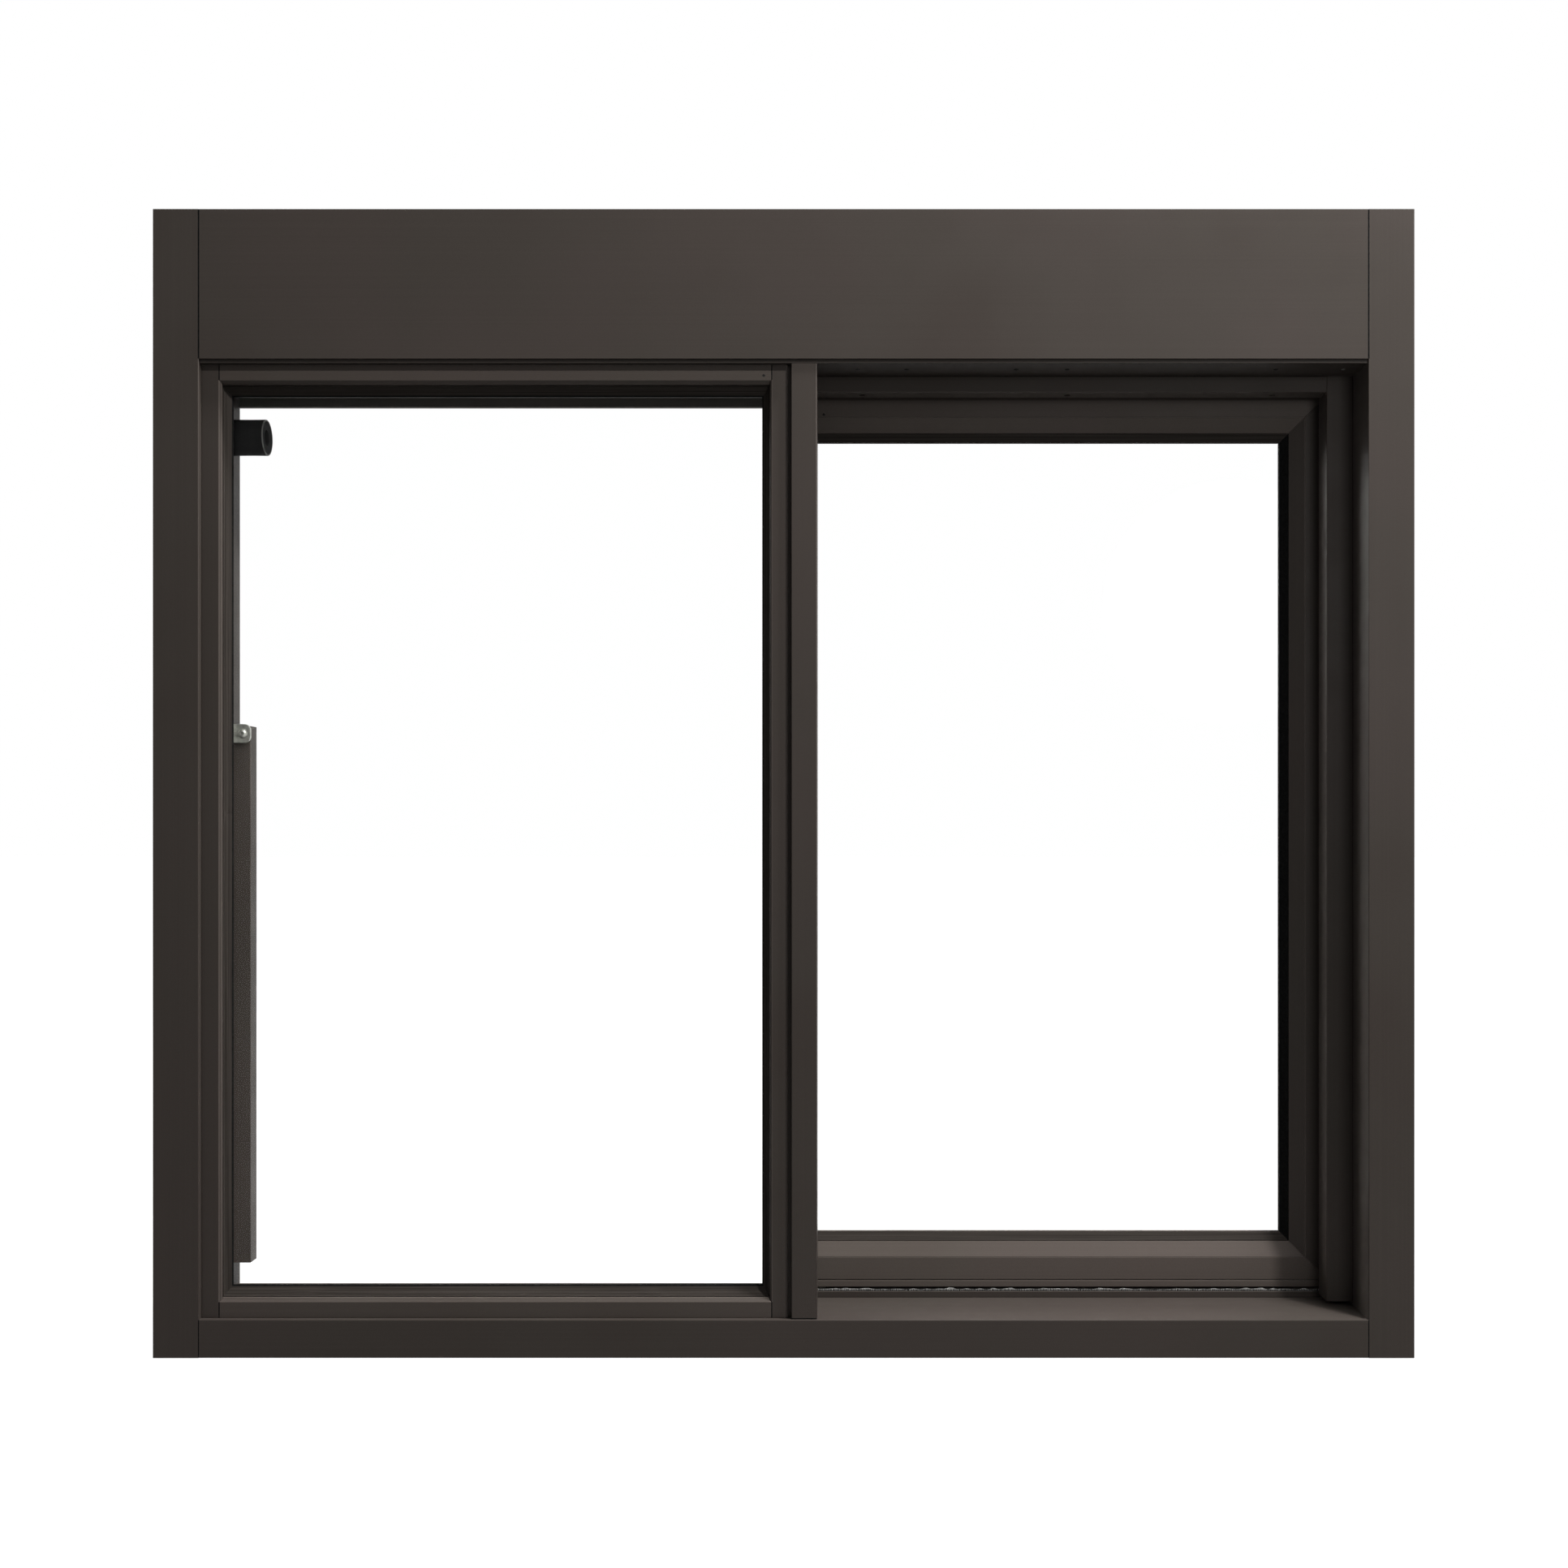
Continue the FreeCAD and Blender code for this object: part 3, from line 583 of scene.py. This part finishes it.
def swell(side, place, share, pitch, side_step, turn):
    """A wave along a gasket that differs from side to side and turns a little across it."""
    return noise.noise(Vector((along_side(side, place) * pitch, SIDES.index(side) * side_step, share * turn)))


def wave_share(share):
    """How much of a wave shows across a gasket: none at its shoulder and at its lip."""
    return math.sin(math.pi * min(1.0, share * WAVE_RUN))


# Gasket of the fixed light; a ripple is (side, middle, half its length, height in mm)
RIPPLES = (
    ("bottom", -0.464, 0.014, 0.9),
    ("bottom", -0.130, 0.012, 0.7),
    ("left", 0.521, 0.003, -0.8),
    ("right", 0.330, 0.010, 0.4),
)
FIXED_SWELL = 0.16
FIXED_STEPS = 230
SIDE_REACH = 7.7 * MM
END_REACH = 10.0 * MM
GASKET_RISE = 7.0 * MM


def fixed_wave(side, place, share):
    height = FIXED_SWELL * swell(side, place, share, pitch=30, side_step=7.3, turn=2)
    for where, centre, half, rise in RIPPLES:
        if where == side:
            height += rise * math.exp(-((along_side(side, place) - centre) / half) ** 2)
    return height * MM * wave_share(share)


def fixed_gasket_mesh(bm):
    outer = bead_rect("fixed_bead_")
    inner = inward(outer, SIDE_REACH, END_REACH)
    glass_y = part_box("fixed_glass")[0].y
    section = lip_section(outer, inner, RIBS, glass_y - GASKET_RISE, glass_y)
    strip_ring(bm, section, FIXED_STEPS, fixed_wave, LIP_SHADE_RIB)


# Black rubber in the third slot paints the shade at the lip
gasket = mesh_piece("fixed_gasket_strip", fixed_gasket_mesh, VINYL, VINYL_UPRIGHT, RUBBER)
add_piece(gasket, "frame", ["fixed_gasket"])

# Gasket of the sash, in front of its glass and behind it
SASH_SWELL = 0.12
SASH_STEPS = 160
SASH_REACH = 8.2 * MM
SASH_BEAD_FALL = 7.0 * MM
BACK_STEPS = 60
BACK_SEAT = 1.5 * MM
BACK_REACH = 5.5 * MM
BACK_ROUND = 0.8 * MM
BACK_TURN = 0.92


def sash_wave(side, place, share):
    return SASH_SWELL * MM * swell(side, place, share, pitch=24, side_step=5.1, turn=1) * wave_share(share)


def no_wave(side, place, share):
    return 0.0


def sash_gasket_mesh(bm):
    outer = bead_rect("sash_bead_")
    inner = inward(outer, SASH_REACH, SASH_REACH)
    glass_low, glass_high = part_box("sash_glass")
    shoulder_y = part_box("sash_bead_left")[0].y + SASH_BEAD_FALL
    strip_ring(bm, lip_section(outer, inner, SOFT_RIBS, shoulder_y, glass_low.y), SASH_STEPS, sash_wave)
    back_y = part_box("sash_gasket")[1].y
    back_outer = inward(outer, BACK_SEAT, BACK_SEAT)
    back_inner = inward(outer, BACK_REACH, BACK_REACH)
    back_turn = rect_between(back_outer, back_inner, BACK_TURN)
    bulge = [
        (back_outer, glass_high.y),
        (back_turn, glass_high.y),
        (back_inner, glass_high.y + BACK_ROUND),
        (back_inner, back_y - BACK_ROUND),
        (back_turn, back_y),
        (back_outer, back_y),
    ]
    strip_ring(bm, bulge, BACK_STEPS, no_wave)


# Level sides take the brown vinyl and upright sides the black rubber: the black uprights are painted shade
gasket = mesh_piece("sash_gasket_strip", sash_gasket_mesh, VINYL, RUBBER)
add_piece(gasket, "sash", ["sash_gasket"])

# Dark sealant in the joints; its profile is (share of the width across the joint, depth in mm)
SEALANT = (
    (-0.80, -0.02), (-0.40, -0.06), (0.0, -0.08), (0.35, -0.06),
    (0.65, -0.02), (0.65, 1.2), (-0.80, 1.2),
)
SEALANT_TRIM = 0.3 * MM
HEADER_JOINT = 1.0 * MM
SILL_JOINT = 0.6 * MM
BEAD_JOINT = 0.75 * MM
BEAD_JOINT_SHIFT = 0.15 * MM
BEAD_BEVEL = 3.5 * MM
MULLION_JOINT = 2.0 * MM


def add_sealant(bm, start, end, across, into, width):
    trim = (end - start).normalized() * SEALANT_TRIM
    rows = []
    for place in (start + trim, end - trim):
        rows.append([bm.verts.new(place + across * (a * width) + into * (d * MM)) for a, d in SEALANT])
    for k in range(len(SEALANT)):
        j = (k + 1) % len(SEALANT)
        bm.faces.new((rows[0][k], rows[0][j], rows[1][j], rows[1][k]))
    for row in rows:
        bm.faces.new(row)


def sealant_mesh(bm):
    for node, width in (("header_front_panel", HEADER_JOINT), ("sill", SILL_JOINT)):
        low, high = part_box(node)
        for x, across in ((low.x, RIGHT), (high.x, -RIGHT)):
            for y, into in ((FRONT_Y, BACK), (BACK_Y, -BACK)):
                add_sealant(bm, Vector((x, y, low.z)), Vector((x, y, high.z)), across, into, width)
    for node, foot, crest in (("fixed_bead_bottom", 0.0, BEAD_BEVEL), ("fixed_bead_top", BEAD_BEVEL, 0.0)):
        low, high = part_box(node)
        for end_x, across in ((low.x, RIGHT), (high.x, -RIGHT)):
            x = end_x - across.x * BEAD_JOINT_SHIFT
            start = Vector((x, low.y, low.z + foot))
            end = Vector((x, low.y, high.z - crest))
            add_sealant(bm, start, end, across, BACK, BEAD_JOINT)
    low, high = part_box("mullion")
    add_sealant(bm, low, Vector((high.x, low.y, low.z)), UP, BACK, MULLION_JOINT)


add_piece(mesh_piece("joint_sealant", sealant_mesh, RUBBER), "frame")

# Brush seals: a backing, a thin fin and rows of bristles
BACKING_HEIGHT = 0.5 * MM
BRISTLE_ROWS = 3
BRISTLE_PITCH = 0.75 * MM
BRISTLE_ROOT = 0.4 * MM
BRISTLE_HALF = 0.26 * MM
BRISTLE_TIP = 0.5
ROW_SHARE = 3.2
LEAN_ALONG = 0.22
LEAN_ACROSS = 0.10
SHORTEST_BRISTLE = 0.82
FIN_STEPS = 420
FIN_HALF = 0.12 * MM
FIN_HEIGHT = 0.74
FIN_SWING = 0.62
FIN_PITCH = 0.37
FIN_ROW = (3.3, 0.7)


def add_bar(bm, rings):
    """The long faces between rings of four points."""
    for a, b in zip(rings, rings[1:]):
        for k in range(4):
            j = (k + 1) % 4
            bm.faces.new((a[k], a[j], b[j], b[k]))


def pile_mesh(bm, start, end, rise, across, height, width, seed):
    chance = random.Random(seed)
    length = (end - start).length
    along = (end - start).normalized()
    side = width / 2
    foot = [(-side, 0), (side, 0), (side, BACKING_HEIGHT), (-side, BACKING_HEIGHT)]
    rings = [[bm.verts.new(p + across * a + rise * h) for a, h in foot] for p in (start, end)]
    add_bar(bm, rings)
    for ring in rings:
        bm.faces.new(ring)
    count = int(length / BRISTLE_PITCH)
    half = along * BRISTLE_HALF
    for row in range(BRISTLE_ROWS):
        sideways = (row - BRISTLE_ROWS // 2) * width / ROW_SHARE
        row_place = start + across * sideways + rise * BRISTLE_ROOT
        for i in range(count):
            root = row_place + along * ((i + chance.random()) / count * length)
            lean = along * chance.uniform(-LEAN_ALONG, LEAN_ALONG)
            lean += across * chance.uniform(-LEAN_ACROSS, LEAN_ACROSS)
            tip = root + (rise + lean) * (height - BRISTLE_ROOT) * chance.uniform(SHORTEST_BRISTLE, 1.0)
            corners = [root - half, root + half, tip + half * BRISTLE_TIP, tip - half * BRISTLE_TIP]
            bm.faces.new([bm.verts.new(corner) for corner in corners])


def fin_mesh(bm, start, end, rise, across, height):
    thick = across * FIN_HALF
    rings = []
    for i in range(FIN_STEPS + 1):
        foot = start + (end - start) * (i / FIN_STEPS)
        crest = rise * height * (FIN_HEIGHT + FIN_SWING * noise.noise(Vector((i * FIN_PITCH, *FIN_ROW))))
        corners = [foot - thick, foot + thick, foot + thick + crest, foot - thick + crest]
        rings.append([bm.verts.new(corner) for corner in corners])
    add_bar(bm, rings)


def brush_seal(name, start, end, rise, across, height, width, seed):
    def build_pile(bm):
        pile_mesh(bm, start, end, rise, across, height, width, seed)

    def build_fin(bm):
        fin_mesh(bm, start, end, rise, across, height)

    add_piece(mesh_piece(name, build_pile, PILE), "frame")
    add_piece(mesh_piece(name + "_fin", build_fin, FIN), "frame")


# Brush seals at the sill, the jamb stop and the meeting stop
SILL_BRUSH_INSET = 1.0 * MM
SILL_BRUSH_END = 2 * MM
SILL_BRUSH_WIDTH = 1.6 * MM
SILL_BRUSH_GAP = 0.3 * MM
STOP_BRUSH_INSET = 7 * MM
STOP_BRUSH_FOOT = 8 * MM
STOP_BRUSH_HEAD = 4 * MM
STOP_BRUSH_WIDTH = 4.0 * MM
STOP_BRUSH_GAP = 0.4 * MM
SILL_SEED = 11
JAMB_SEED = 12
MEETING_SEED = 13

channel_low, channel_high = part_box("sill_guide_track")
stop_low, stop_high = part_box("jamb_stop")
meet_low, meet_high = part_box("meeting_stop")
brush_y = channel_low.y + SILL_BRUSH_INSET
brush_seal(
    "sill_brush",
    start=Vector((channel_low.x + SILL_BRUSH_END, brush_y, channel_high.z)),
    end=Vector((channel_high.x - SILL_BRUSH_END, brush_y, channel_high.z)),
    rise=UP,
    across=BACK,
    height=SASH_LOW.z - channel_high.z - SILL_BRUSH_GAP,
    width=SILL_BRUSH_WIDTH,
    seed=SILL_SEED,
)
for brush_name, x, low_z, high_z, brush_seed in (
    ("jamb_brush", stop_low.x + STOP_BRUSH_INSET, stop_low.z, stop_high.z, JAMB_SEED),
    ("meeting_brush", (meet_low.x + meet_high.x) / 2, meet_low.z, meet_high.z, MEETING_SEED),
):
    brush_seal(
        brush_name,
        start=Vector((x, stop_high.y, low_z + STOP_BRUSH_FOOT)),
        end=Vector((x, stop_high.y, high_z - STOP_BRUSH_HEAD)),
        rise=BACK,
        across=RIGHT,
        height=SASH_LOW.y - stop_high.y - STOP_BRUSH_GAP,
        width=STOP_BRUSH_WIDTH,
        seed=brush_seed,
    )

# Screw heads with a cross or hexagon recess; profiles are (share of the radius, share of the height)
CROSS = 4
HEXAGON = 6
SCREW_SEGMENTS = 32
SHANK_SHARE = 0.45
HEAD_PROFILE = ((1.0, 0.0), (1.0, 0.22), (0.95, 0.45), (0.82, 0.72), (0.66, 0.90), (0.55, 1.0))
RECESS_PROFILE = ((0.36, 1.0), (0.33, 0.55))
CROSS_CORE = 0.42
CROSS_ARM = 0.72


def recess_share(angle, lobes):
    """How far the edge of a recess lies from the middle at an angle."""
    if lobes == CROSS:
        return CROSS_CORE + CROSS_ARM * abs(math.cos(2 * angle)) ** 3
    return 1 / math.cos((angle + math.pi / HEXAGON) % (math.tau / HEXAGON) - math.pi / HEXAGON)


def add_screw(bm, centre, normal, radius, height, lobes, shank):
    turn = UP.rotation_difference(normal)
    angles = [math.tau * i / SCREW_SEGMENTS for i in range(SCREW_SEGMENTS)]

    def ring(share, level, shaped):
        verts = []
        for angle in angles:
            r = share * radius
            if shaped:
                r *= recess_share(angle, lobes)
            place = Vector((r * math.cos(angle), r * math.sin(angle), level * height))
            verts.append(bm.verts.new(centre + turn @ place))
        return verts

    rings = []
    if shank:
        rings += [ring(SHANK_SHARE, -shank / height, False), ring(SHANK_SHARE, 0.0, False)]
    rings += [ring(share, level, False) for share, level in HEAD_PROFILE]
    rings += [ring(share, level, True) for share, level in RECESS_PROFILE]
    for a, b in zip(rings, rings[1:]):
        for i in range(SCREW_SEGMENTS):
            j = (i + 1) % SCREW_SEGMENTS
            bm.faces.new((a[i], a[j], b[j], b[i]))
    bm.faces.new(rings[-1])
    bm.faces.new(rings[0])


def screws(name, places, normal, radius, height, material, body, lobes=CROSS, shank=0.0, replaced=()):
    def build(bm):
        for place in places:
            add_screw(bm, Vector(place), normal, radius, height, lobes, shank)

    add_piece(mesh_piece(name, build, material), body, replaced)


# Screws in the soffit
SOFFIT_SCREW_X = (71.2, 118.5, 224.7, 274.3, 476.5)
END_SCREW_X = 541.9
SOFFIT_SCREW_DEPTH = 26 * MM

soffit_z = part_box("soffit_front")[0].z
screw_y = FRONT_Y + SOFFIT_SCREW_DEPTH
screws(
    "soffit_screws", [(x * MM, screw_y, soffit_z) for x in SOFFIT_SCREW_X],
    normal=-UP, radius=2.3 * MM, height=0.8 * MM, material=PILE, body="frame",
)
# The end screw takes the darker zinc: painted shade under the soffit
screws(
    "soffit_end_screw", [(END_SCREW_X * MM, screw_y, soffit_z)],
    normal=-UP, radius=2.0 * MM, height=0.9 * MM, material=ZINC_PAINTED_SHADE, body="frame",
)

# Screws in the header's back panel
HEADER_SCREW_X = (-0.50, -0.17, 0.17, 0.50)
HEADER_SCREW_INSET = 18 * MM

back_low, back_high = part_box("header_back_panel")
screw_heights = (back_low.z + HEADER_SCREW_INSET, back_high.z - HEADER_SCREW_INSET)
# The back panel's screws take the paler bronze of the painted edge highlight
screws(
    "header_back_screws", [(x, back_high.y, z) for x in HEADER_SCREW_X for z in screw_heights],
    normal=BACK, radius=4.2 * MM, height=1.8 * MM, material=BRONZE_EDGE_PAINTED_HIGHLIGHT,
    body="frame",
)

# Screws of the pull on the sash
PULL_SCREW_INSET = 14 * MM
PULL_PLATE = 3 * MM
PULL_SCREW_OFFSET = 55 * MM

pull_low, pull_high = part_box("pull_handle")
pull_z = (pull_low.z + pull_high.z) / 2
screw_heights = (pull_z - PULL_SCREW_OFFSET, pull_z + PULL_SCREW_OFFSET)
screws(
    "pull_screws", [(pull_low.x + PULL_SCREW_INSET, pull_low.y + PULL_PLATE, z) for z in screw_heights],
    normal=BACK, radius=4.0 * MM, height=1.8 * MM, material=ZINC, body="sash",
)

# Screw of the lock bar's bracket, and the button-head screw that the bar hangs from
BRACKET_PLATE = 3 * MM
BRACKET_SCREW_INSET = 9 * MM
PIVOT_HEAD = 3.4 * MM
PIVOT_SHANK = 12 * MM

tab_low, tab_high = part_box("lock_bar_bracket")
tab_z = (tab_low.z + tab_high.z) / 2
screws(
    "bracket_screw", [(tab_low.x + BRACKET_PLATE, tab_low.y + BRACKET_SCREW_INSET, tab_z)],
    normal=RIGHT, radius=3.6 * MM, height=1.7 * MM, material=ZINC, body="frame",
)
pivot_low, pivot_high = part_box("lock_bar_screw")
pivot = (pivot_low + pivot_high) / 2
screws(
    "pivot_screw", [(pivot.x, pivot_low.y + PIVOT_HEAD, pivot.z)],
    normal=-BACK, radius=4.75 * MM, height=PIVOT_HEAD, material=ZINC, body="frame",
    lobes=HEXAGON, shank=PIVOT_SHANK, replaced=["lock_bar_screw"],
)

# Bolt in the bumper
BOLT_HEAD = 4.0 * MM

bolt_low, bolt_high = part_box("bumper_screw")
bolt = (bolt_low + bolt_high) / 2
bolt_shank = bolt_high.x - bolt_low.x - BOLT_HEAD
screws(
    "bumper_bolt", [(bolt_high.x - BOLT_HEAD, bolt.y, bolt.z)],
    normal=RIGHT, radius=5.5 * MM, height=BOLT_HEAD, material=ZINC, body="frame",
    lobes=HEXAGON, shank=bolt_shank, replaced=["bumper_screw"],
)

# Rubber bumper with a painted highlight on the rim round its dished end; the rim is (back from the end, in
# from the side) in mm
BUMPER_SEGMENTS = 72
BUMPER_RIM = ((0.9, 0.0), (0.25, 0.25), (0.0, 0.9), (0.3, 1.6), (0.8, 4.0))
BUMPER_WAIST_PLACE = 0.6
BUMPER_WAIST = 0.992
BUMPER_HOLE = 8.0 * MM
BUMPER_HOLE_EDGE = 0.9 * MM
BUMPER_HOLE_DEPTH = 12.0 * MM
BUMPER_BORE = 2.6 * MM
RIM_HIGHLIGHT_RINGS = (3, 4, 5)


def bumper_mesh(bm):
    low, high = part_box("bumper")
    axis = (low + high) / 2
    radius = (high.z - low.z) / 2
    floor_x = high.x - BUMPER_HOLE_DEPTH
    waist_x = low.x + BUMPER_WAIST_PLACE * (high.x - low.x)
    profile = [(low.x, BUMPER_BORE), (low.x, radius), (waist_x, radius * BUMPER_WAIST)]
    profile += [(high.x - back * MM, radius - inside * MM) for back, inside in BUMPER_RIM]
    profile += [(high.x - BUMPER_HOLE_EDGE, BUMPER_HOLE), (floor_x, BUMPER_HOLE), (floor_x, BUMPER_BORE)]
    angles = [math.tau * i / BUMPER_SEGMENTS for i in range(BUMPER_SEGMENTS)]
    rings = []
    for x, r in profile:
        rings.append([bm.verts.new((x, axis.y + r * math.cos(t), axis.z + r * math.sin(t))) for t in angles])
    for k, ring in enumerate(rings):
        after = rings[(k + 1) % len(rings)]
        for i in range(BUMPER_SEGMENTS):
            j = (i + 1) % BUMPER_SEGMENTS
            face = bm.faces.new((ring[i], ring[j], after[j], after[i]))
            # The rim rings take the paler rubber: a painted highlight
            face.material_index = 1 if k in RIM_HIGHLIGHT_RINGS else 0


bumper = mesh_piece("bumper_rubber", bumper_mesh, RUBBER, RIM_RUBBER_PAINTED_HIGHLIGHT)
add_piece(bumper, "frame", ["bumper"])

# Small dark pins in the top bead and in the sash's top rail
PIN_RADIUS = 1.3 * MM
PIN_HEIGHT = 0.4 * MM
BEAD_PIN_INSET = 7.5 * MM
BEAD_PIN_DROP = 3.0 * MM
RAIL_PIN_X = 37.8 * MM
RAIL_PIN_DROP = 27.5 * MM

bead_low, bead_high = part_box("fixed_bead_top")
bead_face_z = (bead_low.z + BEAD_BEVEL + bead_high.z) / 2
screws(
    "bead_pin", [(bead_high.x - BEAD_PIN_INSET, bead_low.y, bead_face_z - BEAD_PIN_DROP)],
    normal=-BACK, radius=PIN_RADIUS, height=PIN_HEIGHT, material=PILE, body="frame",
)
rail_low, rail_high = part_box("sash_top_rail")
screws(
    "rail_pin", [(RAIL_PIN_X, rail_low.y, rail_high.z - RAIL_PIN_DROP)],
    normal=-BACK, radius=PIN_RADIUS, height=PIN_HEIGHT, material=PILE, body="sash",
)

bpy.context.scene.view_settings.view_transform = "Standard"
